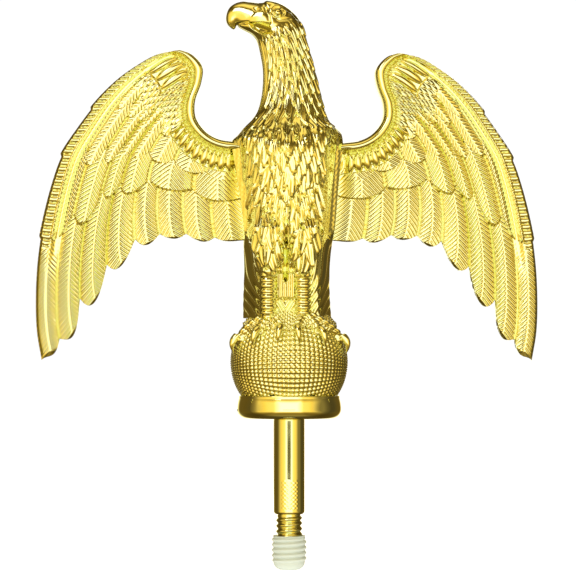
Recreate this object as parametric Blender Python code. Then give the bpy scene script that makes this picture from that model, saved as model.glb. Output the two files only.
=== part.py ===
"""Spread-eagle topper for a flagpole, metres, +Z up.

The origin is the centre of the base cup's flat underside, which rests on the pole's end. The eagle
faces -Y, its head is turned to -X, and every hollow moulding is parted on Y = 0 into a front and a back half.
"""

import bmesh
import bpy
import numpy as np

MM = 0.001

# Clearances.
GAP = 0.3 * MM
THREAD_CLEARANCE = 0.15 * MM

# Wing, seen from the front: how far it reaches from the middle, and how high it stands.
WING_REACH = 92.0 * MM
WING_TOP = 134.4 * MM
WING_TIP = 21.2 * MM
WING_ROOT_TOP = 100.5 * MM
WING_ROOT_BOTTOM = 65.0 * MM
WING_EDGE = 1.3 * MM
WING_RIM = 2.1 * MM
WING_SWELL = 2.6 * MM
WING_WALL = 1.5 * MM
FEATHER_RIDGE = 0.35 * MM
TENON_LENGTH = 3.2 * MM
TENON_HALF_THICKNESS = 2.0 * MM
TENON_TOP = 96.0 * MM
TENON_BOTTOM = 71.0 * MM

# Body.
BODY_WALL = 2.0 * MM
SHOULDER_HALF_WIDTH = 21.0 * MM
TAIL_HALF_WIDTH = 15.4 * MM
CHEST_DEPTH = 17.5 * MM
HEAD_TOP = 152.8 * MM
LEG_RADIUS = 3.5 * MM
LEG_SPREAD = 7.3 * MM
LEG_TOP = 77.0 * MM
THIGH_LENGTH = 24.0 * MM
THIGH_RADIUS = 6.4 * MM
TOE_RADIUS = 1.7 * MM

# Globe and base cup.
GLOBE_RADIUS = 21.6 * MM
GLOBE_WALL = 1.8 * MM
GLOBE_SINK = 1.1 * MM
GLOBE_CENTRE = GLOBE_RADIUS - GLOBE_SINK
CUP_HEIGHT = 8.4 * MM
CUP_LIP = 1.1 * MM
CUP_RADIUS = CUP_LIP + float(np.sqrt(GLOBE_RADIUS**2 - (GLOBE_CENTRE - CUP_HEIGHT) ** 2))
CUP_FLOOR = 2.4 * MM
CUP_CORNER = 3.4 * MM
SEAT_RECESS = 0.3 * MM

# Captive nut and the boss that holds it.
NUT_ACROSS_FLATS = 12.7 * MM
NUT_HEIGHT = 6.7 * MM
BOSS_WALL = 1.8 * MM
NUT_SEAT = 4.6 * MM

# Stem.
SPIGOT_RADIUS = 3.95 * MM
SPIGOT_PITCH = 1.41 * MM
SPIGOT_TOP = 12.0 * MM
STEM_RADIUS = 5.65 * MM
STEM_LENGTH = 34.8 * MM
STEM_CORNER = 1.2 * MM
THREAD_RADIUS = 4.76 * MM
THREAD_DEPTH = 0.65 * MM
THREAD_PITCH = 2.0 * MM
THREAD_LENGTH = 16.2 * MM

# White thread adaptor.
BARE_THREAD = 7.7 * MM
ADAPTOR_LENGTH = 12.4 * MM
ADAPTOR_RADIUS = 6.35 * MM
ADAPTOR_DEPTH = 0.6 * MM
ADAPTOR_PITCH = 1.95 * MM
ADAPTOR_CORNER = 3.0 * MM

ROUND = 32
THREAD_SIDES = 16

GOLD = ("vacuum_gold", (0.83, 0.60, 0.16), 0.12, 1.0)
STEEL = ("zinc_steel", (0.62, 0.63, 0.64), 0.3, 1.0)
WHITE = ("white_nylon", (0.80, 0.85, 0.80), 0.45, 0.0)


def finish(spec):
    name, colour, roughness, metallic = spec
    material = bpy.data.materials.get(name) or bpy.data.materials.new(name)
    material.use_nodes = True
    shader = material.node_tree.nodes["Principled BSDF"]
    shader.inputs["Base Color"].default_value = (*colour, 1.0)
    shader.inputs["Roughness"].default_value = roughness
    shader.inputs["Metallic"].default_value = metallic
    return material


def mesh_object(name, grids, spec=None):
    """One object from (points, faces) pairs: equal points are joined and faces that collapse are dropped."""
    mesh = bpy.data.meshes.new(name)
    shape = bmesh.new()
    for points, faces in grids:
        _, first, index = np.unique(
            np.round(points / (0.001 * MM)), axis=0, return_index=True, return_inverse=True
        )
        corners = [shape.verts.new(points[i]) for i in first]
        index = index.reshape(-1)
        for face in faces:
            loop = list(dict.fromkeys(index[list(face)].tolist()))
            if len(loop) > 2:
                shape.faces.new([corners[i] for i in loop])
    bmesh.ops.recalc_face_normals(shape, faces=shape.faces)
    shape.to_mesh(mesh)
    shape.free()
    piece = bpy.data.objects.new(name, mesh)
    bpy.context.scene.collection.objects.link(piece)
    if spec:
        mesh.materials.append(finish(spec))
        mesh.shade_smooth()
        mesh.set_sharp_from_angle(angle=np.radians(40))
    else:
        piece.hide_render = True
        piece.display_type = "WIRE"
    return piece


def quads(rows, columns, wrap=False):
    """The faces of a grid of points, row after row."""
    across = columns if wrap else columns - 1
    faces = []
    for low in range(0, (rows - 1) * columns, columns):
        high = low + columns
        for c in range(across):
            after = (c + 1) % columns
            faces.append((low + c, low + after, high + after, high + c))
    return faces


def pan(outer, inner):
    """A wall between two grids of points with the same rows and columns, joined along all four sides."""
    rows, columns = outer.shape[:2]
    size = rows * columns
    points = np.concatenate([outer.reshape(-1, 3), inner.reshape(-1, 3)])
    faces = quads(rows, columns)
    faces += [tuple(size + i for i in reversed(face)) for face in faces]
    rim = [r * columns for r in range(rows)] + [(rows - 1) * columns + c for c in range(1, columns)]
    rim += [r * columns + columns - 1 for r in range(rows - 2, -1, -1)] + list(range(columns - 2, 0, -1))
    faces += [(a, b, size + b, size + a) for a, b in zip(rim, rim[1:] + rim[:1])]
    return points, faces


def turned(profile, sides=ROUND):
    """The faces of a closed (radius, height) outline turned about Z."""
    profile = np.array(profile, dtype=float)
    angle = np.arange(sides) * 2 * np.pi / sides
    points = np.stack(
        [
            profile[:, :1] * np.cos(angle),
            profile[:, :1] * np.sin(angle),
            np.repeat(profile[:, 1:], sides, axis=1),
        ],
        axis=-1,
    )
    return close_ends(points)


def close_ends(points):
    """A tube from rings of points, with a flat face over the first and the last ring."""
    rows, columns = points.shape[:2]
    faces = quads(rows, columns, wrap=True)
    faces.append(tuple(range(columns)))
    faces.append(tuple((rows - 1) * columns + c for c in range(columns)))
    return points.reshape(-1, 3), faces


def ring(profile, sides=ROUND):
    """A closed (radius, height) outline with a hole through it, turned about Z."""
    points, faces = turned(profile + profile[:1], sides)
    return points, faces[:-2]


def smooth_curve(points, where):
    """A curve through the points, read at shares of its length, with tangents from the neighbours."""
    points = np.array(points, dtype=float)
    tangents = np.gradient(points, axis=0)
    fine = np.linspace(0, len(points) - 1, 40 * len(points))
    i = np.minimum(fine.astype(int), len(points) - 2)
    t = (fine - i)[:, None]
    curve = (
        (2 * t**3 - 3 * t**2 + 1) * points[i]
        + (t**3 - 2 * t**2 + t) * tangents[i]
        + (3 * t**2 - 2 * t**3) * points[i + 1]
        + (t**3 - t**2) * tangents[i + 1]
    )
    length = np.concatenate([[0], np.cumsum(np.linalg.norm(np.diff(curve, axis=0), axis=1))])
    where = np.asarray(where) * length[-1]
    return np.stack([np.interp(where, length, curve[:, k]) for k in range(points.shape[1])], axis=-1)


def cut(piece, *cutters):
    for cutter in cutters:
        boolean = piece.modifiers.new("cut_" + cutter.name, "BOOLEAN")
        boolean.operation = "DIFFERENCE"
        boolean.solver = "MANIFOLD"
        boolean.object = cutter


def join(piece, *others):
    for other in others:
        boolean = piece.modifiers.new("join_" + other.name, "BOOLEAN")
        boolean.operation = "UNION"
        boolean.solver = "MANIFOLD"
        boolean.object = other


def box(name, low, high):
    """A helper block between two corners."""
    (x0, y0, z0), (x1, y1, z1) = np.minimum(low, high), np.maximum(low, high)
    outline = [(x0, y0), (x1, y0), (x1, y1), (x0, y1)]
    points = np.array([[(x, y, z) for x, y in outline] for z in (z0, z1)])
    return mesh_object(name, [close_ends(points)])


# ----------------------------------------------------------------------------------------------------
# Body: sections across a spine that rises, then bends over to -X into the head and the hooked beak.

# the upright part; heights are shares of 100 mm on the drawing
TRUNK = (
    # height, share of shoulder half width, share of chest depth front, back
    (0.470, 0.74, 0.72, 0.76),
    (0.560, 0.76, 0.76, 0.77),
    (0.660, 0.81, 0.86, 0.78),
    (0.740, 0.86, 0.89, 0.80),
    (0.840, 0.93, 0.98, 0.83),
    (0.930, 0.98, 1.00, 0.86),
    (0.995, 1.00, 0.94, 0.85),
    (1.035, 0.88, 0.86, 0.80),
    (1.070, 0.70, 0.76, 0.74),
)
# centre (x, height share of head), tilt, half width, front depth, back depth
NECK_AND_HEAD = (
    (0.9, 115.0, -2, 10.8, 10.6, 10.8),
    (0.2, 123.8, 6, 9.5, 9.4, 9.6),
    (-1.3, 132.4, 14, 8.9, 8.7, 8.9),
    (-3.6, 139.2, 26, 8.8, 8.2, 8.4),
    (-6.6, 144.3, 44, 7.9, 7.6, 7.6),
    (-10.8, 147.4, 74, 5.4, 6.0, 6.0),
    (-15.0, 148.4, 96, 4.1, 4.2, 4.2),
    (-18.8, 147.6, 120, 3.3, 3.2, 3.2),
    (-20.6, 145.4, 152, 1.9, 1.9, 1.9),
    (-20.4, 143.7, 172, 0.8, 0.8, 0.8),
)
# heights on the drawing, and where each one really stands
DRAWN_HEIGHTS = (0.421, 0.650, 1.005)
REAL_HEIGHTS = (GLOBE_CENTRE + GLOBE_RADIUS, WING_ROOT_BOTTOM, WING_ROOT_TOP)
DRAWN_SHOULDER, DRAWN_HEAD_TOP = 107.0, 152.8
HOLLOW_SECTIONS = 15
HALF_STEPS = 12
LEG_SIDES, TOE_SIDES = 12, 8


def seat_height(x, y, clearance):
    """How high the globe stands below a point, with a clearance over it."""
    reach = GLOBE_RADIUS + clearance
    return GLOBE_CENTRE + np.sqrt(np.maximum(reach**2 - x**2 - y**2, 0))


def body_sections():
    """Centre x, centre z, tilt, half width, front depth and back depth of each section, from tail to beak."""
    rise = (WING_ROOT_TOP - WING_ROOT_BOTTOM) / (DRAWN_HEIGHTS[2] - DRAWN_HEIGHTS[1])
    foot = (-0.8 * MM, 0.0, 0.0, TAIL_HALF_WIDTH, 0.72 * CHEST_DEPTH, 0.78 * CHEST_DEPTH)
    sections = [foot]
    for height, width, front, back in TRUNK:
        middle = -0.8 * MM if height < 1.0 else 0.2 * MM
        above = max(height - DRAWN_HEIGHTS[2], 0) * rise
        sections.append(
            (
                middle,
                np.interp(height, DRAWN_HEIGHTS, REAL_HEIGHTS) + above,
                0.0,
                width * SHOULDER_HALF_WIDTH,
                front * CHEST_DEPTH,
                back * CHEST_DEPTH,
            )
        )
    shoulder = sections[-1][1]
    unit = (HEAD_TOP - shoulder) / (DRAWN_HEAD_TOP - DRAWN_SHOULDER)
    for x, z, tilt, width, front, back in NECK_AND_HEAD:
        height = shoulder + (z - DRAWN_SHOULDER) * unit
        sections.append((x * unit, height, np.radians(tilt), width * unit, front * unit, back * unit))
    return sections


def body_side(height, side):
    """How far the body's flank stands from the middle plane at a height."""
    sections = body_sections()[1:10]
    heights = [s[1] for s in sections]
    return np.interp(height, heights, [s[3] + side * s[0] for s in sections])


def half_ring(section, back, inset):
    """Half a section of the body, from its +X flank round the front or the back to its other flank."""
    x, z, tilt, width, front, rear = section
    depth = rear if back else front
    turn = np.linspace(0, np.pi, HALF_STEPS + 1)
    across = (width - inset) * np.cos(turn)
    out = (depth - inset) * np.sin(turn)
    side = 1 if back else -1
    y = side * (GAP / 2 + out * (1 - GAP / 2 / depth))
    return np.stack([x + across * np.cos(tilt), y, z + across * np.sin(tilt)], axis=-1)


def body_shell(name, back):
    sections = body_sections()
    rings = []
    for inset in (0.0, BODY_WALL):
        grid = np.array([half_ring(s, back, inset) for s in sections])
        grid[0, :, 2] = seat_height(grid[0, :, 0], grid[0, :, 1], 2 * GAP)
        tip = grid[-1].mean(axis=0, keepdims=True)
        tip[:, 1] = (1 if back else -1) * GAP / 2
        if inset:
            end = grid[HOLLOW_SECTIONS].mean(axis=0)
            end[1] = tip[0, 1]
            grid[HOLLOW_SECTIONS:] = end
            tip = end[None]
        rings.append(np.concatenate([grid, np.repeat(tip[None], HALF_STEPS + 1, axis=1)]))
    return mesh_object(name, [pan(*rings)], GOLD)


def tube(path, radii, sides):
    """Round rings of points along a path."""
    path = np.array(path)
    ahead = np.gradient(path, axis=0)
    ahead /= np.linalg.norm(ahead, axis=1, keepdims=True)
    across = np.cross(ahead, (0.0, 1.0, 0.3))
    across /= np.linalg.norm(across, axis=1, keepdims=True)
    up = np.cross(across, ahead)
    angle = (np.arange(sides) + 0.5) * 2 * np.pi / sides
    spread = np.cos(angle)[None, :, None] * across[:, None] + np.sin(angle)[None, :, None] * up[:, None]
    return path[:, None] + np.array(radii)[:, None, None] * spread


def on_globe(azimuth, polar, lift):
    """A point at a lift over the globe: azimuth 0 faces -Y and grows to +X, polar 0 is the top."""
    reach = GLOBE_RADIUS + lift
    return (
        reach * np.sin(polar) * np.sin(azimuth),
        -reach * np.sin(polar) * np.cos(azimuth),
        GLOBE_CENTRE + reach * np.cos(polar),
    )


# azimuth and polar angle of each claw's tip, in degrees, on the +X foot
CLAWS = ((8, 62), (32, 66), (62, 68))


def legs():
    """Helper solids: two legs before the column, and three toes of each foot along the globe."""
    made = []
    for side, word in ((-1, "left"), (1, "right")):
        foot = 0.72 * CHEST_DEPTH - 0.3 * LEG_RADIUS
        ankle = (side * LEG_SPREAD, -foot)
        low = seat_height(*ankle, 2 * GAP)
        knee = LEG_TOP - THIGH_LENGTH
        heights = (low, knee - 2 * MM, knee + 2 * MM, knee + 9 * MM, LEG_TOP - 6 * MM, LEG_TOP)
        leg = [(*ankle, z) for z in heights]
        radii = np.array((LEG_RADIUS, LEG_RADIUS, 1.3 * LEG_RADIUS) + 3 * (THIGH_RADIUS,))
        radii[4:] *= (0.9, 0.4)
        rings = tube(leg, radii, LEG_SIDES)
        rings[0, :, 2] = seat_height(rings[0, :, 0], rings[0, :, 1], 2 * GAP)
        made.append(mesh_object("leg_" + word, [close_ends(rings)]))
        start_turn = np.arctan2(ankle[0], foot)
        start_polar = np.arcsin(min(np.hypot(*ankle) / GLOBE_RADIUS, 0.9))
        for count, (turn, polar) in enumerate(CLAWS):
            along = np.linspace(-0.1, 1, 6)
            turns = start_turn + (side * np.radians(turn) - start_turn) * along
            polars = start_polar + (np.radians(polar) - start_polar) * along
            radii = TOE_RADIUS * np.array([1.0, 1.0, 0.95, 0.9, 0.75, 0.35])
            path = [on_globe(t, p, GAP + r) for t, p, r in zip(turns, polars, radii)]
            toe = tube(path, radii, TOE_SIDES)
            made.append(mesh_object(f"toe_{word}_{count}", [close_ends(toe)]))
    return made


def make_body():
    front = body_shell("body_front_shell", back=False)
    back = body_shell("body_back_shell", back=True)
    join(front, *legs())
    half = TENON_HALF_THICKNESS + GAP
    for side, word in ((-1, "left"), (1, "right")):
        flank = body_side(TENON_TOP, side)
        inside = flank - BODY_WALL - 2 * TENON_LENGTH
        slot = box(
            "tenon_slot_" + word,
            (side * inside, -half, TENON_BOTTOM - GAP),
            (side * (flank + TENON_LENGTH), half, TENON_TOP + GAP),
        )
        cut(front, slot)
        cut(back, slot)


# ----------------------------------------------------------------------------------------------------
# Wings: a patch between the outer leading edge, the rim beside the neck, the root and the trailing edge.
# Its lines of constant u run along the feathers.

# outlines as (out, up) in drawing units; the patch scales them to the wing's reach, top and tip
OUTER_EDGE = (
    (40.8, 134.4), (49, 132.6), (56.5, 128.2), (63.5, 122.6), (70.6, 114.8), (77.2, 105.2),
    (82.6, 96.0), (86.0, 86.0), (89.0, 73.0), (91.2, 59.0), (92.0, 45.0), (91.6, 32.0), (89.8, 21.2),
)
INNER_EDGE = (
    (40.8, 134.4), (35.6, 132.4), (32.0, 128.0), (32.4, 122.2), (34.6, 115.6), (34.4, 109.6),
    (31.0, 104.6), (26.0, 101.6), (21.0, 100.5),
)
TRAILING_EDGE = (
    (89.8, 21.2), (85.0, 23.6), (79.6, 28.4), (70.2, 43.0), (60.2, 56.6), (53.0, 62.4), (46.2, 65.0),
    (37.8, 65.4), (29.8, 64.2), (21.0, 64.6), (17.2, 65.0),
)
DRAWN_REACH, DRAWN_TOP, DRAWN_TIP, DRAWN_SHOULDER_HALF_WIDTH = 92.0, 134.4, 21.2, 21.0
DRAWN_ROOT, DRAWN_ROOT_TOP, DRAWN_ROOT_BOTTOM = 19.0, 100.5, 65.0
# where each long feather ends along the trailing edge, and how deep the notch is before the next
FEATHER_ENDS = (0.0, 0.08, 0.22, 0.40, 0.56, 0.66, 0.76, 0.86, 1.0)
NOTCHES = (0.0, 0.025, 0.075, 0.070, 0.070, 0.040, 0.045, 0.050, 0.0)
COLUMNS_PER_FEATHER = 4
WING_ROWS = 9


def drawn_to_real(points):
    """Scales an outline: out between the flank and the reach, up between tip, root and top."""
    points = np.array(points, dtype=float)
    flank = DRAWN_ROOT / DRAWN_SHOULDER_HALF_WIDTH * SHOULDER_HALF_WIDTH
    out = flank + (points[:, 0] - DRAWN_ROOT) * (WING_REACH - flank) / (DRAWN_REACH - DRAWN_ROOT)
    up = np.interp(
        points[:, 1],
        (DRAWN_TIP, DRAWN_ROOT_BOTTOM, DRAWN_ROOT_TOP, DRAWN_TOP),
        (WING_TIP, WING_ROOT_BOTTOM, WING_ROOT_TOP, WING_TOP),
    )
    return np.stack([out, up], axis=-1)


def wing_patch(side, u, v):
    """(out, up) of the wing: u is the share from leading feather to root, v from rim to feather ends."""
    top = (body_side(WING_ROOT_TOP, side) + GAP, WING_ROOT_TOP)
    bottom = (body_side(WING_ROOT_BOTTOM, side) + GAP, WING_ROOT_BOTTOM)
    outer, inner, trailing = (drawn_to_real(edge) for edge in (OUTER_EDGE, INNER_EDGE, TRAILING_EDGE))
    inner[-1] = top
    trailing[-1] = bottom
    heights = np.linspace(WING_ROOT_TOP, WING_ROOT_BOTTOM, 60)
    root = np.stack([body_side(heights, side) + GAP, heights], axis=-1)
    at_outer, at_root = smooth_curve(outer, v), smooth_curve(root, v)
    at_inner, at_trailing = smooth_curve(inner, u), smooth_curve(trailing, u)
    u, v = u[..., None], v[..., None]
    corners = (1 - u) * ((1 - v) * outer[0] + v * outer[-1]) + u * ((1 - v) * inner[-1] + v * trailing[-1])
    return (1 - v) * at_inner + v * at_trailing + (1 - u) * at_outer + u * at_root - corners


def wing_shell(name, side, back):
    steps = np.arange(COLUMNS_PER_FEATHER) / COLUMNS_PER_FEATHER
    u = np.concatenate([a + (b - a) * steps for a, b in zip(FEATHER_ENDS, FEATHER_ENDS[1:])] + [[1.0]])
    along = np.concatenate([np.tile(steps, len(FEATHER_ENDS) - 1), [0.0]])
    notch = np.interp(u, FEATHER_ENDS, NOTCHES) * np.abs(2 * along - 1) ** 1.5
    rows = np.concatenate([[0.0, 0.04], np.linspace(0.12, 1.0, WING_ROWS - 2)])
    v = rows[:, None] * (1 - notch)[None]
    u = np.repeat(u[None], WING_ROWS, axis=0)
    place = wing_patch(side, u, v)
    swell = np.minimum(v / 0.08, 1) ** 0.5 * (1 - v) ** 1.3 * (0.35 + 0.65 * u)
    ridge = FEATHER_RIDGE * np.sin(np.pi * along)[None] * (v > 0.1)
    height = WING_EDGE + WING_RIM * (1 - v) ** 2 * (0.55 + 0.45 * u) + WING_SWELL * swell + ridge
    hollow = np.maximum(height - WING_WALL, 0)
    hollow[[0, -1]] = 0
    hollow[:, [0, -1]] = 0
    face = 1 if back else -1
    parting = GAP / 2
    outer = np.stack([side * place[..., 0], face * (parting + height), place[..., 1]], axis=-1)
    inner = np.stack([side * place[..., 0], face * (parting + hollow), place[..., 1]], axis=-1)
    return mesh_object(name, [pan(outer, inner)], GOLD)


def make_wing(side, word):
    flank_top, flank_bottom = body_side(TENON_TOP, side), body_side(TENON_BOTTOM, side)
    for back, half in ((False, "front"), (True, "back")):
        shell = wing_shell(f"wing_{word}_{half}_shell", side, back)
        face = 1 if back else -1
        near = face * (GAP / 2 + 0.1 * MM)
        far = face * TENON_HALF_THICKNESS
        root = (flank_top + flank_bottom) / 2
        tenon = box(
            f"tenon_{word}_{half}",
            (side * (root - TENON_LENGTH), near, TENON_BOTTOM),
            (side * (flank_top + 2 * GAP), far, TENON_TOP),
        )
        join(shell, tenon)


# ----------------------------------------------------------------------------------------------------
# Globe, base cup and captive nut.


def boss_radius():
    """The boss is round the nut's corners."""
    return (NUT_ACROSS_FLATS / 2 + GAP) / np.cos(np.pi / 6) + BOSS_WALL


def globe_shell(name, back):
    """Half a hollow ball, open below round the boss."""
    opening = boss_radius() + 2 * GAP
    lowest = np.pi - np.arcsin(opening / (GLOBE_RADIUS - GLOBE_WALL))
    floor = np.arccos((CUP_FLOOR + GAP - GLOBE_CENTRE) / GLOBE_RADIUS)
    turn = np.linspace(0, np.pi, ROUND // 2 + 1)
    side = 1 if back else -1
    grids = []
    for reach, end in ((GLOBE_RADIUS, floor), (GLOBE_RADIUS - GLOBE_WALL, lowest)):
        polar = np.linspace(0, end, 15)[:, None]
        radius = reach * np.sin(polar)
        z = np.repeat(np.maximum(GLOBE_CENTRE + reach * np.cos(polar), CUP_FLOOR + GAP), len(turn), axis=1)
        y = side * (GAP / 2 + radius * np.sin(turn) * (1 - GAP / 2 / reach))
        grids.append(np.stack([radius * np.cos(turn), y, z], axis=-1))
    return mesh_object(name, [pan(*grids)], GOLD)


def cup_wall():
    """The inside of the cup's wall, which follows the globe with a gap, from the floor to the rim."""
    reach = (GLOBE_RADIUS + GAP) / np.cos(np.pi / ROUND)
    heights = np.linspace(CUP_FLOOR, CUP_HEIGHT, 5)
    return [(np.sqrt(reach**2 - (GLOBE_CENTRE - z) ** 2), z) for z in heights]


def make_base_cup():
    """A dish with a flat underside recessed round the stem, and a boss with a hex pocket and a hole."""
    boss = boss_radius()
    pocket_top = NUT_SEAT + NUT_HEIGHT + GAP
    hole = SPIGOT_RADIUS + 2 * THREAD_CLEARANCE
    wall = cup_wall()
    seat = STEM_RADIUS + GAP
    outline = [(hole, SEAT_RECESS), (seat, SEAT_RECESS), (seat, 0.0)]
    outline += [
        (CUP_RADIUS - CUP_CORNER + CUP_CORNER * np.sin(a), CUP_CORNER - CUP_CORNER * np.cos(a))
        for a in np.radians(np.linspace(0, 90, 5))
    ]
    outline += [(CUP_RADIUS, CUP_HEIGHT - GAP), (CUP_RADIUS - GAP, CUP_HEIGHT)]
    outline += wall[::-1]
    outline += [(boss, CUP_FLOOR), (boss, pocket_top), (hole, pocket_top)]
    cup = mesh_object("base_cup", [ring(outline)], GOLD)
    angle = np.radians(60 * np.arange(6) + 30)
    corners = (NUT_ACROSS_FLATS / 2 + GAP) / np.cos(np.pi / 6)
    hexagon = [
        [(corners * np.cos(a), corners * np.sin(a), z) for a in angle]
        for z in (NUT_SEAT - GAP, pocket_top + GAP)
    ]
    cut(cup, mesh_object("nut_pocket", [close_ends(np.array(hexagon))]))


def make_nut():
    angle = np.radians(60 * np.arange(6) + 30)
    corners = NUT_ACROSS_FLATS / 2 / np.cos(np.pi / 6)
    chamfer = 0.5 * MM
    heights = (NUT_SEAT, NUT_SEAT + chamfer, NUT_SEAT + NUT_HEIGHT - chamfer, NUT_SEAT + NUT_HEIGHT)
    spread = (corners - chamfer, corners, corners, corners - chamfer)
    rings = [[(r * np.cos(a), r * np.sin(a), z) for a in angle] for r, z in zip(spread, heights)]
    nut = mesh_object("captive_nut", [close_ends(np.array(rings))], STEEL)
    bore = SPIGOT_RADIUS + THREAD_CLEARANCE
    through = [(bore, NUT_SEAT - NUT_HEIGHT), (bore, NUT_SEAT + 2 * NUT_HEIGHT)]
    cut(nut, mesh_object("nut_bore", [turned(through)]))


# ----------------------------------------------------------------------------------------------------
# Stem and thread adaptor. A thread is a tube whose radius falls and rises once a pitch as it turns.


def thread_rings(radius, depth, pitch, top, bottom, sides=THREAD_SIDES, samples=4):
    """Rings down a right-hand thread: crest at radius, root a depth below it, fading out at both ends."""
    rows = max(int(round((top - bottom) / pitch * samples)), 2) + 1
    z = np.linspace(top, bottom, rows)[:, None]
    angle = (np.arange(sides) * 2 * np.pi / sides)[None]
    wave = 0.5 + 0.5 * np.cos(2 * np.pi * (z / pitch - angle / (2 * np.pi)))
    fade = np.clip(np.minimum(top - z, z - bottom) / (0.5 * pitch), 0, 1)
    reach = radius - depth * (1 - wave * fade)
    return np.stack([reach * np.cos(angle), reach * np.sin(angle), np.repeat(z, sides, axis=1)], axis=-1)


def plain_ring(radius, height, sides=THREAD_SIDES):
    angle = np.arange(sides) * 2 * np.pi / sides
    return np.stack([radius * np.cos(angle), radius * np.sin(angle), np.full(sides, height)], axis=-1)[None]


def make_stem():
    """From the top: threaded spigot in the nut, shoulder under the cup, smooth stem, round corner, thread."""
    end = -STEM_LENGTH - THREAD_LENGTH
    root = THREAD_RADIUS - THREAD_DEPTH
    spigot_depth = 0.45 * MM
    shoulder = SEAT_RECESS - GAP
    spigot = thread_rings(SPIGOT_RADIUS, spigot_depth, SPIGOT_PITCH, SPIGOT_TOP, shoulder + 2 * GAP)
    corner_turn = np.radians(np.linspace(0, 80, 4))
    parts = [spigot, plain_ring(SPIGOT_RADIUS - spigot_depth, shoulder), plain_ring(STEM_RADIUS, shoulder)]
    parts += [
        plain_ring(STEM_RADIUS - STEM_CORNER * (1 - np.cos(a)), -STEM_LENGTH + STEM_CORNER * (1 - np.sin(a)))
        for a in corner_turn
    ]
    parts.append(plain_ring(root, -STEM_LENGTH))
    parts.append(thread_rings(THREAD_RADIUS, THREAD_DEPTH, THREAD_PITCH, -STEM_LENGTH - 0.3 * MM, end))
    return mesh_object("stem", [close_ends(np.concatenate(parts))], GOLD)


def make_adaptor(parent):
    """A sleeve threaded outside, with a blind bore over the stem's thread and a round closed end."""
    top = -STEM_LENGTH - BARE_THREAD
    bottom = top - ADAPTOR_LENGTH
    bore = THREAD_RADIUS + THREAD_CLEARANCE
    bore_end = -STEM_LENGTH - THREAD_LENGTH - 2 * GAP
    root = ADAPTOR_RADIUS - ADAPTOR_DEPTH
    tail = [
        plain_ring(root - ADAPTOR_CORNER * (1 - np.cos(a)), bottom + ADAPTOR_CORNER * (1 - np.sin(a)))
        for a in np.radians((15, 35, 55, 75, 90))
    ]
    outside = thread_rings(
        ADAPTOR_RADIUS, ADAPTOR_DEPTH, ADAPTOR_PITCH, top - 0.2 * MM, bottom + ADAPTOR_CORNER, samples=5
    )
    parts = [plain_ring(bore, bore_end), plain_ring(bore, top), plain_ring(root, top), outside, *tail]
    adaptor = mesh_object("thread_adaptor", [close_ends(np.concatenate(parts))], WHITE)
    adaptor.parent = parent


def main():
    for old in list(bpy.data.objects):
        bpy.data.objects.remove(old, do_unlink=True)
    make_body()
    make_wing(-1, "left")
    make_wing(1, "right")
    globe_shell("globe_front_shell", back=False)
    globe_shell("globe_back_shell", back=True)
    make_base_cup()
    make_nut()
    stem = make_stem()
    make_adaptor(stem)


main()
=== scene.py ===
"""Looks of the spread-eagle flagpole topper: feathered gold shells, beaded globe, polished cup and stem."""

import bpy
import numpy as np
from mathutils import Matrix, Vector


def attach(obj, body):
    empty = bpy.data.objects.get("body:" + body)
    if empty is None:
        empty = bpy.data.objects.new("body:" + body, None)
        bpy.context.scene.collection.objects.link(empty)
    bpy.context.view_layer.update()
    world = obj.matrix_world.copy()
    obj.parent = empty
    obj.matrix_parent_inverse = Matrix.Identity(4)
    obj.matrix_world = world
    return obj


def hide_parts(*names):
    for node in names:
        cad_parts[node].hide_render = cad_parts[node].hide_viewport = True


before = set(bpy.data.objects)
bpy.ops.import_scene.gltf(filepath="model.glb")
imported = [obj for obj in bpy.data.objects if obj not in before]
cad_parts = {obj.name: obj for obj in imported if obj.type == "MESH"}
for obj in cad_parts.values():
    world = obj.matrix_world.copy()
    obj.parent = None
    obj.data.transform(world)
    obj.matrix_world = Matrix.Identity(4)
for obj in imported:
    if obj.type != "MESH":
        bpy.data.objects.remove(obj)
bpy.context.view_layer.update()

MM = 0.001
GAP = 0.3
FRONT, BACK = -1, 1
LEFT, RIGHT = -1, 1


# ----------------------------------------------------------------------------------------------------
# Meshes from grids of points. Shapes are worked out in millimetres.


def smoothstep(low, high, value):
    """0 below low, 1 above high, and a smooth cubic rise between them."""
    share = np.clip((value - low) / (high - low), 0, 1)
    return share * share * (3 - 2 * share)


def bell(distance, width):
    """1 at distance 0, falling like a bell to nothing two widths away."""
    return np.exp(-((distance / width) ** 2))


def scatter(row, column, seed):
    """A fixed number from 0 to 1 for each pair of whole numbers."""
    return np.modf(np.abs(np.sin(row * 12.9898 + column * 78.233 + seed) * 43758.5453))[0]


def smooth_curve(points, where):
    """A curve through the points, read at shares of its length, with tangents from the neighbours."""
    points = np.array(points, dtype=float)
    tangents = np.gradient(points, axis=0)
    fine = np.linspace(0, len(points) - 1, 40 * len(points))
    i = np.minimum(fine.astype(int), len(points) - 2)
    t = (fine - i)[:, None]
    curve = (
        (2 * t**3 - 3 * t**2 + 1) * points[i]
        + (t**3 - 2 * t**2 + t) * tangents[i]
        + (3 * t**2 - 2 * t**3) * points[i + 1]
        + (t**3 - t**2) * tangents[i + 1]
    )
    length = np.concatenate([[0], np.cumsum(np.linalg.norm(np.diff(curve, axis=0), axis=1))])
    where = np.asarray(where) * length[-1]
    return np.stack([np.interp(where, length, curve[:, k]) for k in range(points.shape[1])], axis=-1)


def grid_faces(rows, columns, wrap=False):
    """Four corner numbers for each cell of a grid of points, row after row."""
    across = columns if wrap else columns - 1
    r, c = np.meshgrid(np.arange(rows - 1), np.arange(across), indexing="ij")
    after = (c + 1) % columns
    faces = [r * columns + c, r * columns + after, (r + 1) * columns + after, (r + 1) * columns + c]
    return np.stack(faces, axis=-1).reshape(-1, 4)


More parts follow.
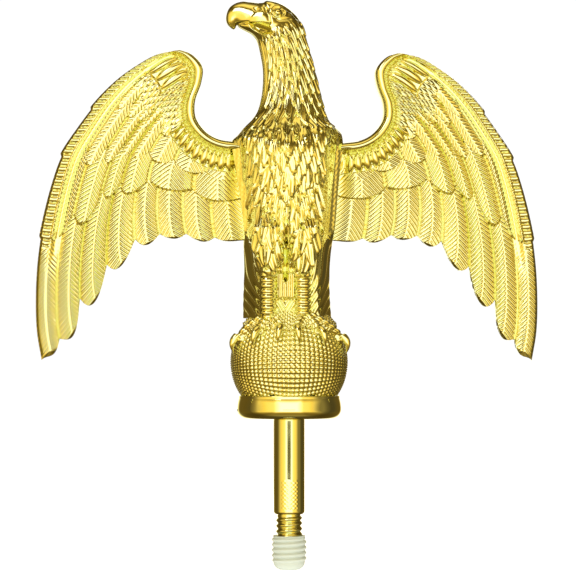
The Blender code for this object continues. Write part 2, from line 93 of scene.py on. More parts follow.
def edge_loop(rows, columns):
    """The point numbers round the four sides of a grid."""
    number = np.arange(rows * columns).reshape(rows, columns)
    return np.concatenate([number[0], number[1:, -1], number[-1, -2::-1], number[-2:0:-1, 0]])


def normals_of(points):
    """The unit normal at each point of a grid, from the cross product of its two directions."""
    normal = np.cross(np.gradient(points, axis=0), np.gradient(points, axis=1))
    return normal / np.maximum(np.linalg.norm(normal, axis=-1, keepdims=True), 1e-9)


def piece(name, parts, body, material, nodes=()):
    """One closed object from parts of points, faces and perhaps a cap, which is one polygon of many points.
    Equal points are joined, and faces that collapse are dropped."""
    points = np.concatenate([part[0].reshape(-1, 3) for part in parts])
    starts = np.cumsum([0] + [part[0].size // 3 for part in parts])
    faces = np.concatenate([part[1] + start for part, start in zip(parts, starts)])
    _, first, index = np.unique(
        np.round(points * 2e4).astype(np.int64), axis=0, return_index=True, return_inverse=True
    )
    corner = index.reshape(-1)[faces]
    keep = corner != np.roll(corner, 1, axis=1)
    whole = keep.sum(axis=1) > 2
    corner, keep = corner[whole], keep[whole]
    count, loops = keep.sum(axis=1), corner[keep]
    for part, start in zip(parts, starts):
        for cap in part[2:]:
            ring = index.reshape(-1)[cap + start]
            ring = ring[ring != np.roll(ring, 1)]
            count, loops = np.append(count, len(ring)), np.append(loops, ring)
    mesh = bpy.data.meshes.new(name)
    mesh.vertices.add(len(first))
    mesh.vertices.foreach_set("co", (points[first] * MM).astype(np.float32).ravel())
    mesh.loops.add(int(count.sum()))
    mesh.loops.foreach_set("vertex_index", loops.astype(np.int32))
    mesh.polygons.add(len(count))
    mesh.polygons.foreach_set("loop_start", np.concatenate([[0], np.cumsum(count)[:-1]]).astype(np.int32))
    mesh.update(calc_edges=True)
    mesh.validate()
    volume_turns_out(mesh)
    mesh.materials.append(material)
    mesh.shade_smooth()
    mesh.set_sharp_from_angle(angle=np.radians(65))
    made = bpy.data.objects.new(name, mesh)
    bpy.context.scene.collection.objects.link(made)
    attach(made, body)
    if nodes:
        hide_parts(*nodes)
    return made


def volume_turns_out(mesh):
    """Turns every face round where the signed volume of the whole mesh is below nothing."""
    mesh.calc_loop_triangles()
    corners = np.empty(len(mesh.loop_triangles) * 3, np.int32)
    mesh.loop_triangles.foreach_get("vertices", corners)
    points = np.empty(len(mesh.vertices) * 3, np.float32)
    mesh.vertices.foreach_get("co", points)
    a, b, c = np.moveaxis(points.reshape(-1, 3)[corners.reshape(-1, 3)].astype(float), 1, 0)
    if np.einsum("ij,ij->", a, np.cross(b, c)) < 0:
        mesh.flip_normals()


def backed(points, face):
    """A half shell's outer grid, closed by walls down to the parting plane and one flat cap on it."""
    rows, columns = points.shape[:2]
    loop = edge_loop(rows, columns)
    after = np.roll(np.arange(len(loop)), -1)
    rim = points.reshape(-1, 3)[loop]
    rim[:, 1] = face * GAP / 2
    low = rows * columns + np.arange(len(loop))
    sides = np.stack([loop[after], loop, low, low[after]], axis=-1)
    faces = np.concatenate([grid_faces(rows, columns), sides])
    return np.concatenate([points.reshape(-1, 3), rim]), faces, low[::-1]


def walled(points, under):
    """Two grids with the same rows and columns, joined along all four sides."""
    rows, columns = points.shape[:2]
    size = rows * columns
    front = grid_faces(rows, columns)
    loop = edge_loop(rows, columns)
    after = np.roll(loop, -1)
    sides = np.stack([after, loop, loop + size, after + size], axis=-1)
    both = np.concatenate([points.reshape(-1, 3), under.reshape(-1, 3)])
    return both, np.concatenate([front, size + front[:, ::-1], sides])


def turned(radius, height, sides):
    """A grid of points turned about Z: radius and height may each change round the turn."""
    angle = np.arange(sides) * 2 * np.pi / sides
    radius = np.broadcast_to(radius, (len(radius), sides))
    height = np.broadcast_to(height, (len(height), sides))
    points = np.stack([radius * np.cos(angle), radius * np.sin(angle), height], axis=-1)
    return points, grid_faces(len(radius), sides, wrap=True)


def near(x, z, line):
    """Distance from points on the front view to a line of straight stretches."""
    best = np.full(np.broadcast(x, z).shape, 1e9)
    for (ax, az), (bx, bz) in zip(line, line[1:]):
        dx, dz = bx - ax, bz - az
        t = np.clip(((x - ax) * dx + (z - az) * dz) / (dx * dx + dz * dz), 0, 1)
        best = np.minimum(best, np.hypot(x - ax - t * dx, z - az - t * dz))
    return best


def lancets(across, along, width, pitch, length, seed, quill, tip, grooves=0.0):
    """Height, 0 to about 1, of feathers laid like shingles.

    Rows start one pitch apart and every other row moves half a width. Along its length a feather rises in a
    straight line and its half width is 1 less the share of length to the power tip; across, it is crowned
    like 1 less a square, with a bell for the quill and a cosine for long grooves. The highest feather shows.
    """
    height = np.zeros(np.broadcast(across, along).shape)
    for back in range(int(np.ceil(length / pitch)) + 2):
        row = np.floor(along / pitch) + 1 - back
        shift = 0.5 * np.mod(row, 2)
        for side in (-0.5, 0.5):
            column = np.floor(across / width - shift + 0.5 + side * 0.8)
            draw = scatter(row, column, seed)
            x = across / width - shift - column + 0.3 * (draw - 0.5)
            t = (along - pitch * (row + 0.5 * draw)) / length
            half = 0.66 * (1 - np.clip(t, 0, 1) ** tip) + 1e-6
            q = np.clip(x / half, -1, 1)
            rise = 0.35 + 0.65 * t
            shape = rise * (0.45 + 0.55 * (1 - q**2)) + quill * bell(q, 0.16)
            if grooves:
                shape = shape + grooves * np.cos(2 * np.pi * 1.5 * q) * smoothstep(0.1, 0.4, t)
            inside = (t > 0) & (t < 1) & (np.abs(x) < half)
            soft = smoothstep(1.0, 0.85, np.abs(q)) * smoothstep(1.0, 0.93, t)
            height = np.maximum(height, np.where(inside, shape * soft, 0))
    return height


# ----------------------------------------------------------------------------------------------------
# Materials.


def linear(hex_colour):
    """An sRGB hex colour as linear light."""
    channels = np.array([int(hex_colour[i : i + 2], 16) / 255 for i in (0, 2, 4)])
    low, high = channels / 12.92, ((channels + 0.055) / 1.055) ** 2.4
    return (*np.where(channels <= 0.04045, low, high).tolist(), 1.0)


def node(tree, kind, inputs=None, **settings):
    """Adds a node, sets its properties, and gives each named input a value or a link."""
    made = tree.nodes.new(kind)
    for key, value in settings.items():
        setattr(made, key, value)
    for key, value in (inputs or {}).items():
        if isinstance(value, bpy.types.NodeSocket):
            tree.links.new(value, made.inputs[key])
        else:
            made.inputs[key].default_value = value
    return made


def new_material(name, colour, metallic, roughness, **extra):
    """A plain surface of one sRGB colour, with its node tree and its shader."""
    material = bpy.data.materials.new(name)
    material.use_nodes = True
    shader = material.node_tree.nodes["Principled BSDF"]
    shader.inputs["Base Color"].default_value = linear(colour)
    shader.inputs["Metallic"].default_value = metallic
    shader.inputs["Roughness"].default_value = roughness
    for key, value in extra.items():
        shader.inputs[key.replace("_", " ")].default_value = value
    return material, material.node_tree, shader


def bumped(tree, shader, scale_mm, height_mm, detail=2.0):
    """A gentle wave on the surface: noise of a size in millimetres and a height in millimetres."""
    where = node(tree, "ShaderNodeTexCoord").outputs["Object"]
    waves = {"Vector": where, "Scale": 1 / (scale_mm * MM), "Detail": detail}
    noise = node(tree, "ShaderNodeTexNoise", waves)
    bump = node(
        tree,
        "ShaderNodeBump",
        {"Height": noise.outputs["Fac"], "Strength": 1.0, "Distance": height_mm * MM},
    )
    tree.links.new(bump.outputs["Normal"], shader.inputs["Normal"])


def vacuum_gold():
    """Vacuum-metallised ABS under yellow lacquer: a bright mirror with the faint ripple of the moulding."""
    material, tree, shader = new_material("vacuum_metallised_gold", "EEECAE", 1.0, 0.08)
    bumped(tree, shader, 1.6, 0.02)
    return material


def polished_gold():
    """The same metallised finish on smooth turned shapes: a cleaner mirror with long ripples only."""
    material, tree, shader = new_material("polished_metallised_gold", "EEECAE", 1.0, 0.05)
    bumped(tree, shader, 6.0, 0.02, 0.0)
    return material


def nylon():
    """Moulded white nylon: translucent off-white with a soft satin shine."""
    material, tree, shader = new_material("moulded_white_nylon", "CCD8D2", 0.0, 0.38, IOR=1.53)
    shader.inputs["Subsurface Weight"].default_value = 0.15
    shader.inputs["Subsurface Radius"].default_value = (1.5 * MM, 1.5 * MM, 1.5 * MM)
    shader.inputs["Subsurface Scale"].default_value = 1.0
    bumped(tree, shader, 1.0, 0.02)
    return material


def zinc_steel():
    """Zinc-plated steel, barrel plated: grey, half dull, with fine tumbled grain."""
    material, tree, shader = new_material("zinc_plated_steel", "BFC2C6", 1.0, 0.32)
    bumped(tree, shader, 0.5, 0.01)
    return material


GOLD, POLISHED, NYLON, ZINC = vacuum_gold(), polished_gold(), nylon(), zinc_steel()


# ----------------------------------------------------------------------------------------------------
# Wings. A patch between leading edge, inner rim, root and trailing edge; u runs from the leading feather to
# the root and v from the rim to the feather ends, so lines of one u run along the feathers.

OUTER_EDGE = (
    (40.8, 134.4), (49, 132.6), (56.5, 128.2), (63.5, 122.6), (70.6, 114.8), (77.2, 105.2),
    (82.6, 96.0), (86.0, 86.0), (89.0, 73.0), (91.2, 59.0), (92.0, 45.0), (91.6, 32.0), (89.8, 21.2),
)
INNER_EDGE = (
    (40.8, 134.4), (35.6, 132.4), (32.0, 128.0), (32.4, 122.2), (34.6, 115.6), (34.4, 109.6),
    (31.0, 104.6), (26.0, 101.6), (18.9, 100.5),
)
TRAILING_EDGE = (
    (89.8, 21.2), (85.0, 23.6), (79.6, 28.4), (70.2, 43.0), (60.2, 56.6), (53.0, 62.4), (46.2, 65.0),
    (37.8, 65.4), (29.8, 64.2), (21.0, 64.6), (14.4, 65.0),
)
ROOT_EDGE = ((18.9, 100.5), (18.0, 95.0), (16.9, 84.0), (15.6, 72.0), (14.4, 65.0))
BARB = 1.7
THIRD_FEATHER = 0.40

# The flight feathers' sides in u, and how far, in v, the ends are notched at each side.
FLIGHT_SIDES = (0, 0.085, 0.22, 0.40, 0.56, 0.66, 0.76, 0.87, 1.0)
NOTCHES = (0, 0.03, 0.075, 0.075, 0.07, 0.045, 0.045, 0.045, 0.0)
# Places in v and millimetres that the leading edge stands out there: three teeth.
TEETH_AT = (0, 0.10, 0.285, 0.295, 0.435, 0.445, 0.665, 0.675, 1)
TEETH = (0, 0, 0.9, 0, 0.9, 0, 0.7, 0, 0)
SHARE_TO_MM = 62

# Rows of feathers from the trailing edge to the rim: where each row ends (share of v, at the leading edge
# and at the root), the share of u at each feather's sides, the step at the row's end and the barb height.
FEATHER_ROWS = (
    (1.00, 1.00, FLIGHT_SIDES, 0.0, 0.24),
    (0.70, 0.62, (0, 0.13, 0.29, 0.45, 0.61, 0.80, 1.0), 0.8, 0.22),
    (0.50, 0.42, (0, 0.10, 0.21, 0.33, 0.45, 0.57, 0.70, 0.84, 1.0), 0.65, 0.19),
    (0.33, 0.27, (0, 0.09, 0.18, 0.27, 0.36, 0.45, 0.54, 0.63, 0.72, 0.81, 0.90, 1.0), 0.55, 0.16),
)


def wing_patch(u, v):
    """(out, up): the four edge curves blended over the patch, less the four corners."""
    at_outer, at_root = smooth_curve(OUTER_EDGE, v), smooth_curve(ROOT_EDGE, v)
    at_inner, at_trailing = smooth_curve(INNER_EDGE, u), smooth_curve(TRAILING_EDGE, u)
    tip, top = np.array(OUTER_EDGE[-1]), np.array(OUTER_EDGE[0])
    low, high = np.array(ROOT_EDGE[-1]), np.array(ROOT_EDGE[0])
    u, v = u[..., None], v[..., None]
    corners = (1 - u) * ((1 - v) * top + v * tip) + u * ((1 - v) * high + v * low)
    return (1 - v) * at_inner + v * at_trailing + (1 - u) * at_outer + u * at_root - corners


def feather_share(u, sides):
    """For each u, the share across its feather, 0 to 1, the feather's width in u, and its number."""
    sides = np.array(sides)
    k = np.clip(np.searchsorted(sides, u, side="right") - 1, 0, len(sides) - 2)
    width = sides[k + 1] - sides[k]
    return (u - sides[k]) / width, width, k


def from_quill(u, v, place, sides):
    """For each point, the length along its feather's own middle line and the distance out from that line."""
    share, width, _ = feather_share(u, sides)
    middle = wing_patch(u + (0.48 - share) * width, v)
    step = np.diff(middle, axis=0)
    ahead = np.gradient(middle, axis=0)
    ahead /= np.linalg.norm(ahead, axis=-1, keepdims=True)
    length = np.concatenate([0 * step[:1, :, 0], np.cumsum(np.linalg.norm(step, axis=-1), axis=0)])
    gap = place - middle
    return length + (gap * ahead).sum(axis=-1), gap[..., 0] * ahead[..., 1] - gap[..., 1] * ahead[..., 0]


def wing_relief(u, v, place, seed):
    """Height in mm of the feather rows over the shell. A row's feathers are crowned across, have a quill and
    barbs that slant to the tip, thicken towards the tip and end in a rounded step over the next row."""
    height = np.zeros_like(u)
    for end_out, end_root, sides, step, barb in FEATHER_ROWS:
        share, _, k = feather_share(u, sides)
        along, off = from_quill(u, v, place, sides)
        end = end_out + (end_root - end_out) * u - 0.05 * scatter(k, k * 0 + step, seed) * (step > 0)
        end = end - (0.06 if step else 0.0) * np.abs(2 * share - 1) ** 2.2
        slant = (along - 0.95 * np.abs(off)) / BARB
        edge = smoothstep(0.0, 0.06, share) * smoothstep(1.0, 0.94, share)
        comb = (0.5 + 0.5 * np.cos(2 * np.pi * slant)) ** 0.35
        shape = 0.9 * (1 - (2 * share - 1) ** 2) ** 0.7
        shape = shape + edge * 2.6 * barb * comb * (1 - bell(off, 0.4))
        shape = shape + 0.40 * bell(off, 0.42) + 0.18 * (share - 0.5)
        shape = shape + step * np.clip(v / end, 0, 1) ** 1.5 + step * 0.5
        cover = smoothstep(0.0, 0.008, end - v) if step else 1.0
        height = height * (1 - cover) + shape * cover
    return height


def ovals(across, width, along, reach):
    """Height, 0 to 1, of a row of long ovals side by side: the root of 1 less the squares of both shares."""
    return np.sqrt(np.clip(1 - (2 * np.mod(across / width, 1) - 1) ** 2 - (along / reach) ** 2, 0, 1))


def shoulder_relief(u, v, run, relief):
    """The feather rows' relief with small scales laid over it near the rim, and long ovals over the wrist and
    the shoulder."""
    across = u * SHARE_TO_MM
    scales = lancets(across, run, 2.6, 2.1, 4.4, 3.3, quill=0.12, tip=2.2) * 0.9
    small = smoothstep(0.24, 0.19, v + 0.03 * np.sin(17 * u))
    wrist = smoothstep(6.6, 6.0, np.abs(run - 11)) * smoothstep(0.04, 0.06, u) * smoothstep(0.29, 0.27, u)
    shoulder = smoothstep(3.9, 3.4, np.abs(run - 7.6)) * smoothstep(0.60, 0.62, u) * smoothstep(0.99, 0.97, u)
    smooth = wrist + shoulder
    fingers = 1.9 * ovals(across, 4.3, run - 11, 6.3) * wrist
    fingers = fingers + 1.7 * ovals(across, 2.6, run - 7.6, 3.7) * shoulder
    relief = relief * (1 - small) + (1.1 + scales) * small
    return relief * (1 - smooth) + 0.8 * smooth + fingers


def border_relief(u, v, run, relief):
    """The relief with a round roll, a groove and a fine comb along the rim, and with short stubs and a smooth
    band down the leading edge."""
    rim = smoothstep(3.6, 3.0, run) * smoothstep(0.0, 0.03, u)
    roll = 1.0 + 2.0 * np.sqrt(np.clip(1 - ((run - 1.5) / 1.9) ** 2, 0, 1))
    comb = bell(run - 4.6, 1.3) * 0.35 * np.cos(2 * np.pi * u * SHARE_TO_MM / 1.3) * (1 - rim)
    relief = relief * (1 - rim) + roll * rim + comb - 0.9 * bell(run - 3.8, 0.5) * smoothstep(0.0, 0.03, u)
    lead = smoothstep(0.048, 0.036, u) * smoothstep(0.02, 0.06, v) * smoothstep(0.72, 0.68, v)
    stub = np.abs(np.sin(np.pi * (run + 60 * u) / 2.3)) ** 0.6
    relief = relief * (1 - lead) + lead * (0.5 + 0.8 * stub)
    band = bell(u - 0.070, 0.022) * smoothstep(0.02, 0.06, v) * smoothstep(0.80, 0.70, v)
    return relief * (1 - 0.85 * band) - 0.3 * band


def wing_grid(side, face, first, last, rows, columns):
    """The wing's outer surface on one side, from one share of u to another: the patch in the front view, with
    notched feather ends and a toothed leading edge, and a height from swell and relief."""
    u = np.linspace(first, last, columns)[None] * np.ones((rows, 1))
    share, _, _ = feather_share(u, FLIGHT_SIDES)
    notch = np.interp(u, FLIGHT_SIDES, NOTCHES)
    v = np.linspace(0, 1, rows)[:, None] * (1 - notch * np.abs(2 * share - 1) ** 2.0)
    place = wing_patch(u, v)
    place[..., 0] += np.interp(v, TEETH_AT, TEETH) * smoothstep(0.05, 0.0, u)
    steps = np.hypot(*np.moveaxis(np.diff(place, axis=0), -1, 0))
    run = np.concatenate([np.zeros((1, columns)), np.cumsum(steps, axis=0)])
    relief = wing_relief(u, v, place, 1.7 if side > 0 else 4.1)
    relief = border_relief(u, v, run, shoulder_relief(u, v, run, relief))
    swell = np.minimum(v / 0.08, 1) ** 0.5 * (1 - v) ** 1.3 * (0.35 + 0.65 * u)
    base = 0.3 + 1.7 * (1 - v) ** 2 * (0.55 + 0.45 * u) + 2.2 * swell
    edge = smoothstep(0.0, 0.012, np.minimum(u, 1 - v))
    height = base * (0.35 + 0.65 * edge) + np.clip(relief, 0, None) * (0.25 + 0.75 * edge)
    height = height * (1 - 0.6 * smoothstep(0.92, 0.985, u) * smoothstep(0.05, 0.15, v))
    return np.stack([side * place[..., 0], face * (GAP / 2 + height), place[..., 1]], axis=-1)


def make_wings():
    """Each wing side is one piece as far as its third flight feather and another from there to the root."""
    for side, word in ((LEFT, "left"), (RIGHT, "right")):
        for face, half, fine in ((FRONT, "front", 1.0), (BACK, "back", 0.66)):
            outer = wing_grid(side, face, 0, THIRD_FEATHER, int(480 * fine), int(190 * fine))
            inner = wing_grid(side, face, THIRD_FEATHER, 1, int(330 * fine), int(200 * fine))
            shell = f"wing_{word}_{half}_shell"
            piece(f"long_feathers_{word}_{half}", [backed(outer, face)], "eagle", GOLD, [shell])
            piece(f"inner_feathers_{word}_{half}", [backed(inner, face)], "eagle", GOLD)


# ----------------------------------------------------------------------------------------------------
# Body, neck and head: a surface stretched between the two side outlines of the front view.

# +X side (x, z), -X side (x, z), depth in front, depth behind
STATIONS = (
    (15.5, 36.5, -16.8, 36.5, 12.6, 13.6), (15.0, 43.0, -16.8, 43.0, 12.6, 13.4),
    (14.8, 52.0, -16.5, 52.0, 12.9, 13.4), (15.3, 60.0, -16.6, 60.0, 13.8, 13.6),
    (16.2, 66.0, -16.8, 66.0, 15.0, 13.7), (17.0, 72.0, -17.4, 72.0, 15.4, 13.9),
    (18.0, 84.0, -19.0, 84.0, 16.9, 14.4), (19.3, 95.0, -21.0, 95.0, 17.2, 14.8),
    (19.8, 100.5, -21.6, 100.5, 16.3, 14.6), (18.7, 104.0, -18.6, 103.4, 15.0, 14.0),
    (14.8, 107.3, -15.2, 106.9, 13.0, 12.8), (13.0, 111.5, -11.8, 111.6, 11.5, 11.5),
    (11.4, 116.8, -10.1, 117.0, 10.3, 10.5), (9.8, 123.6, -9.4, 122.6, 9.5, 9.7),
    (8.4, 129.0, -9.4, 128.0, 9.0, 9.2), (7.2, 133.4, -10.0, 132.2, 8.7, 8.8),
    (5.9, 138.3, -10.8, 136.0, 8.3, 8.4), (4.6, 143.6, -11.6, 138.2, 8.0, 8.0),
    (2.9, 146.8, -12.4, 139.6, 7.7, 7.7), (0.4, 149.3, -13.4, 140.7, 7.2, 7.2),
    (-2.2, 151.2, -14.4, 141.4, 6.7, 6.7), (-4.8, 152.3, -15.6, 142.0, 6.2, 6.2),
    (-7.3, 152.8, -16.6, 142.5, 5.6, 5.6), (-10.4, 152.2, -17.3, 142.9, 4.8, 4.8),
    (-14.0, 152.5, -17.9, 143.2, 4.2, 4.2), (-17.3, 152.7, -18.3, 143.5, 3.6, 3.6),
    (-20.2, 151.8, -18.7, 143.9, 3.0, 3.0), (-22.2, 150.0, -19.0, 144.2, 2.5, 2.5),
    (-23.1, 147.1, -19.3, 144.2, 2.0, 2.0), (-22.7, 144.8, -19.6, 143.8, 1.4, 1.4),
    (-21.4, 143.4, -19.9, 143.2, 0.7, 0.7), (-20.5, 142.9, -20.3, 142.9, 0.1, 0.1),
)
FRONT_MIDDLE = -2.3
LEG_X = 6.3
SCUTE_STEP, FLUTE_STEP = 1.95, 1.4
SLIT_DEPTH = 2.2
EYE = (-4.6, 147.9)
BROW = ((-8.8, 151.8), (-4.5, 151.3), (-0.3, 149.4), (2.6, 147.0), (5.2, 144.3))
BROW_SLIT = ((-3.4, 149.9), (0.2, 148.2), (2.6, 145.6))
MOUTH = ((-15.3, 144.6), (-8.1, 144.3), (-6.5, 139.9), (-9.4, 139.6), (-14.0, 142.6))
MOUTH_FLOOR = 139.4
GAPE = ((-19.4, 144.3), (-15.3, 144.5))
CERE = ((-9.6, 152.4), (-9.2, 149.6), (-8.1, 146.6), (-7.8, 143.8))
CHEEK = ((-8.5, 149.4), (-6.2, 146.1), (-4.2, 145.0), (-0.4, 145.6))
NOSTRIL = ((-12.6, 149.4), (-11.4, 149.0))


def body_fields(rows, columns, face):
    """The plain body and the flat coordinates that its relief is drawn in."""
    lines = smooth_curve(STATIONS, np.linspace(0, 1, rows))
    turn = np.linspace(0, np.pi, columns)
    right, left = lines[:, None, 0:2], lines[:, None, 2:4]
    depth = lines[:, None, 4 if face == FRONT else 5]
    flat = (right + left) / 2 + (right - left) / 2 * np.cos(turn)[None, :, None]
    z = flat[..., 1]
    y = trunk_depth(np.cos(turn)[None] * np.ones((rows, 1)), z, depth)
    middle = (lines[:, 0:2] + lines[:, 2:4]) / 2
    run = np.concatenate([[0], np.cumsum(np.linalg.norm(np.diff(middle, axis=0), axis=1))])
    down = (run[-1] - run)[:, None] * np.ones((1, columns))
    across = (turn - np.pi / 2)[None] * 15 * np.ones((rows, 1))
    return flat[..., 0], flat[..., 1], y, across, down, turn[None] * np.ones((rows, 1))


def depth_inside(x, z, corners):
    """Distance in from the nearest side of a convex outline that runs clockwise; below nothing outside."""
    gaps = []
    for (ax, az), (bx, bz) in zip(corners, corners[1:] + corners[:1]):
        gaps.append(((z - bz) * (ax - bx) - (x - bx) * (az - bz)) / np.hypot(bx - ax, bz - az))
    return np.min(gaps, axis=0)


def head_relief(x, z):
    """Height in mm of the face: brow ridge, eye in its ring, cere, mouth line, nostril and cheek fold."""
    eye = np.hypot(x - EYE[0], (z - EYE[1]) * 1.15)
    height = 1.1 * bell(near(x, z, BROW), 1.3) - 0.9 * bell(near(x, z, BROW_SLIT), 0.4)
    height += 0.95 * np.sqrt(np.clip(1 - (eye / 1.5) ** 2, 0, 1))
    height += 0.3 * bell(eye - 2.7, 0.5) - 0.55 * bell(eye - 1.9, 0.5)
    height -= 0.75 * bell(near(x, z, CERE), 0.55)
    height -= 0.85 * (z - MOUTH_FLOOR) * smoothstep(-0.1, 0.3, depth_inside(x, z, MOUTH))
    height -= 0.9 * bell(near(x, z, GAPE), 0.5)
    height += 0.5 * bell(near(x, z, MOUTH[2:] + GAPE[:1]), 0.5)
    height -= 0.9 * bell(near(x, z, NOSTRIL), 0.5)
    height -= 0.4 * bell(near(x, z, CHEEK), 0.5)
    return height


def body_relief(x, z, across, down, face):
    """Height in mm of the plumage, four fields blended by smooth masks: shaggy neck, pointed breast in a V,
    leafy thighs, and flanks that are pebbled above and grooved below."""
    crown = smoothstep(138.0, 143.5, z + 0.45 * (-x - 4))
    neck = lancets(across, down, 4.6, 4.2, 10.5, 1.1, quill=0.0, tip=2.0, grooves=0.06) * 2.1
    front = x - FRONT_MIDDLE if face == FRONT else x
    middle = np.abs(front)
    waved = front + 0.25 * np.sin(z / 3.0)
    breast = lancets(waved, -z, 3.6, 4.2, 9.5, 2.3, quill=0.05, tip=2.0, grooves=0.07) * 2.3
    spread = front * (1 + 0.018 * (z - 66)) + np.sign(front) * 0.004 * (80 - z) ** 2
    drop = -z - 0.35 * middle
    thigh = lancets(spread, drop, 4.4, 4.8, 10.5, 5.9, quill=0.20, tip=1.7, grooves=0.08) * 2.4
    pits = np.sin(2 * np.pi * x / 1.55 + 2 * np.sin(z / 2.1))
    pits = pits * np.sin(2 * np.pi * z / 1.7 + 2 * np.sin(x / 1.9))
    pebble = 0.07 * pits + 0.10 * np.sin(2.3 * x + 1.7 * z) * np.sin(1.9 * z - 1.3 * x)
    sweep = 0.4 * np.sin(2 * np.pi * (middle + 0.35 * (60 - z) + 1.2 * np.sin(z / 4.5)) / 2.3)
    zigzag = 1.8 * np.abs(np.mod(front / 3.3, 2) - 1)
    wedge = smoothstep(0.4, -0.4, middle * 0.55 + 79.0 - z - zigzag) * smoothstep(15.5, 13.5, middle)
    at_neck = smoothstep(101.0, 106.0, z)
    leaf = np.interp(z, (50.5, 53, 58, 66, 92), (-0.5, 1.6, 4.2, 6.6, 7.0))
    lap = smoothstep(leaf + 0.5, leaf - 0.5, np.abs(middle - LEG_X)) * smoothstep(92.0, 88.0, z)
    between = smoothstep(2.8, 1.8, middle) * smoothstep(54.0, 56.0, z) * smoothstep(92.0, 88.0, z)
    lap = np.maximum(lap, between)
    low = smoothstep(67.0, 61.0, z)
    height = pebble * (1 - low) + sweep * low
    height = height * (1 - lap) + thigh * lap
    height = height * (1 - wedge) + breast * wedge
    throat = smoothstep(13.0, 15.5, across) * smoothstep(106, 112, z) * smoothstep(143, 138, z)
    neck = neck * (1 - throat) + throat * (0.5 + 0.3 * np.cos(2 * np.pi * across / 2.2))
    height = height * (1 - at_neck) + neck * at_neck
    if face == FRONT:
        height -= 1.0 * bell(middle, 1.4) * smoothstep(50, 53, z) * smoothstep(70, 66, z)
    return height * (1 - crown) + crown * 0.35


def legs_out(x, y, z):
    """The larger of the plain depth and two legs, each a round thigh that narrows to the shank."""
    radius = np.interp(z, (36, 50, 53, 60, 68, 76, 80), (2.5, 2.5, 3.6, 5.6, 6.0, 4.0, 3.0))
    for side in (LEFT, RIGHT):
        off = np.clip(1 - ((x - FRONT_MIDDLE - side * LEG_X) / radius) ** 2, 0, 1)
        start = np.interp(z, (36, 52, 68, 82), (12.4, 12.0, 11.0, 8.0))
        leg = np.where(off > 0, start + radius * np.sqrt(off), 0)
        y = np.maximum(y, leg * smoothstep(84, 76, z))
    return y


def trunk_depth(cos_turn, z, depth):
    """Share of depth over the section: a box with slanted flanks low down, a dome between flat wing roots at
    the breast, and a plain round above."""
    c = np.abs(cos_turn)
    round_neck = np.sqrt(1 - c**2) ** 0.92
    flanks = np.clip((1 - c) / 0.36, 0, 1)
    box = flanks * (2 / (1 + flanks**6)) ** (1 / 6)
    dome = np.sqrt(np.clip(1 - (c / 0.86) ** 2, 0, 1))
    shelf = (4.6 / depth) * np.clip((1 - c) / 0.02, 0, 1) ** 0.5 + 0.60 * (1 - c)
    breast = (dome**4 + shelf**4) ** 0.25
    low = smoothstep(70.0, 60.0, z)
    high = smoothstep(97.0, 106.0, z)
    return depth * (box * low + breast * (1 - low) * (1 - high) + round_neck * high)


def body_grid(face, rows, columns):
    """The body with plumage and the head's features along its normal and, in front, scutes on the shanks, a
    fluted strip between them and a slit over the strip."""
    x, z, y, across, down, turn = body_fields(rows, columns, face)
    if face == FRONT:
        y = legs_out(x, y, z)
    base = np.stack([x, face * (GAP / 2 + y), z], axis=-1)
    normal = normals_of(base)
    normal *= np.sign((normal[..., 1:2] * face).sum()) or 1
    side = np.sin(turn) ** 0.5
    height = body_relief(x, z, across, down, face)
    head = head_relief(x, z) * smoothstep(136.0, 140.0, z + 0.3 * (-x)) * np.sin(turn) ** 0.6
    if face == FRONT:
        for foot in (LEFT, RIGHT):
            shank = smoothstep(3.0, 2.5, np.abs(x - FRONT_MIDDLE - foot * LEG_X)) * smoothstep(53.0, 51.0, z)
            scutes = 0.75 * np.abs(np.sin(np.pi * z / SCUTE_STEP)) ** 0.6
            height = height * (1 - shank) + scutes * shank
        strip = smoothstep(3.4, 2.9, np.abs(x - FRONT_MIDDLE)) * smoothstep(53.5, 52.0, z)
        strip = strip * smoothstep(42.5, 44.0, z)
        flutes = 0.9 + 0.22 * np.cos(2 * np.pi * (x - FRONT_MIDDLE) / FLUTE_STEP)
        height = height * (1 - strip) + strip * flutes
        slit = bell(x - FRONT_MIDDLE, 0.5) * smoothstep(48.5, 51.0, z) * smoothstep(65.0, 61.0, z)
        height = height * (1 - slit) - SLIT_DEPTH * slit
    return base + normal * ((height + head) * side * smoothstep(36.5, 38.0, z))[..., None]


def make_body():
    """Two plumed half shells; the front one has the finer grid."""
    for face, half, rows, columns in ((FRONT, "front", 400, 235), (BACK, "back", 360, 190)):
        shell = backed(body_grid(face, rows, columns), face)
        piece(f"plumed_body_{half}", [shell], "eagle", GOLD, [f"body_{half}_shell"])


# ----------------------------------------------------------------------------------------------------
# Globe, feet and claws.

GLOBE_RADIUS, GLOBE_CENTRE = 21.2, 20.5
GLOBE_FOOT = -57
# degrees from bead to bead, and a bead's size in millimetres
BEAD_STEP = 5.0
BEAD_RADIUS, BEAD_HEIGHT = 0.88, 0.5
# azimuth (0 faces -Y, growing to +X) and polar angle of the claws' roots, degrees
TOES = ((-68, 67), (-39, 60), (-13.5, 57), (3.5, 57), (30, 60), (63, 67))
ANKLE_TURNS, ANKLE_POLAR = (-36.0, 20.0), 36.0
# how deep the feet's sheet lies in the ball where there is no toe, and a claw's largest radius
FOOT_SUNK, CLAW_RADIUS = 0.6, 1.65


def ball(azimuth, polar, reach):
    """Points about the globe's centre from azimuth, polar angle and reach."""
    return np.stack(
        [
            reach * np.sin(polar) * np.sin(azimuth),
            -reach * np.sin(polar) * np.cos(azimuth),
            GLOBE_CENTRE + reach * np.cos(polar),
        ],
        axis=-1,
    )


